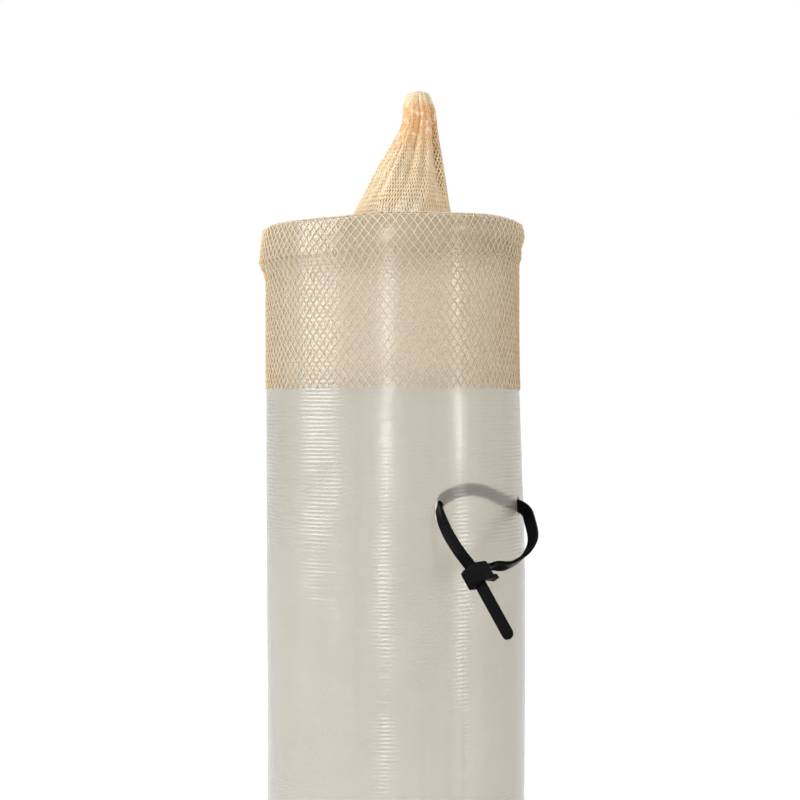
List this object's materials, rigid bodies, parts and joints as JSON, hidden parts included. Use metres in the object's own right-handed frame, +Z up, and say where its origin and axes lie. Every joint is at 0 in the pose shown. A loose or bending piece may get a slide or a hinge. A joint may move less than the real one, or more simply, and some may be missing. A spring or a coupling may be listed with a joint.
{
  "type": "tree guard tube",
  "caption": "Translucent tree shelter tube with a folded lip, a diamond-mesh net sock over its top and a releasable tie through two slots for the stake.",
  "frame": {"origin": "the tube's axis at its bottom end, on the ground", "axes": "+Z up along the tube; -Y is the front; the tie's slots face the front right, between -Y and +X"},
  "size_m": [0.1128, 0.1332, 0.3613],
  "materials": {
    "tube_plastic": "milky translucent polypropylene, thin wall with fine draw lines",
    "net": "soft knitted polyethylene net, pale orange",
    "tie_nylon": "black moulded nylon, satin"
  },
  "bodies": {
    "tube": {"shelter_tube": "tube_plastic"},
    "net": {"net_skirt": "net", "net_crown": "net"},
    "tie": {"tie_strap": "tie_nylon", "tie_head": "tie_nylon"},
    "lever": {"release_lever": "tie_nylon"}
  },
  "joints": [
    {"name": "net_pull_off", "type": "slide", "parent": "tube", "child": "net", "axis": [0, 0, 1], "range_m": [0, 0.08], "deforming": ["net_skirt"]},
    {"name": "tie_swing", "type": "hinge", "parent": "tube", "child": "tie", "pos_m": [0.03298, -0.03392, 0.1915], "axis": [-0.7169, -0.6972, 0], "range_deg": [0, 42]},
    {"name": "lever_release", "type": "hinge", "parent": "tie", "child": "lever", "pos_m": [0.03226, -0.06386, 0.16778], "axis": [-0.635, 0.5165, -0.5744], "range_deg": [0, 14], "stiffness_Nm_per_rad": 0.004}
  ]
}
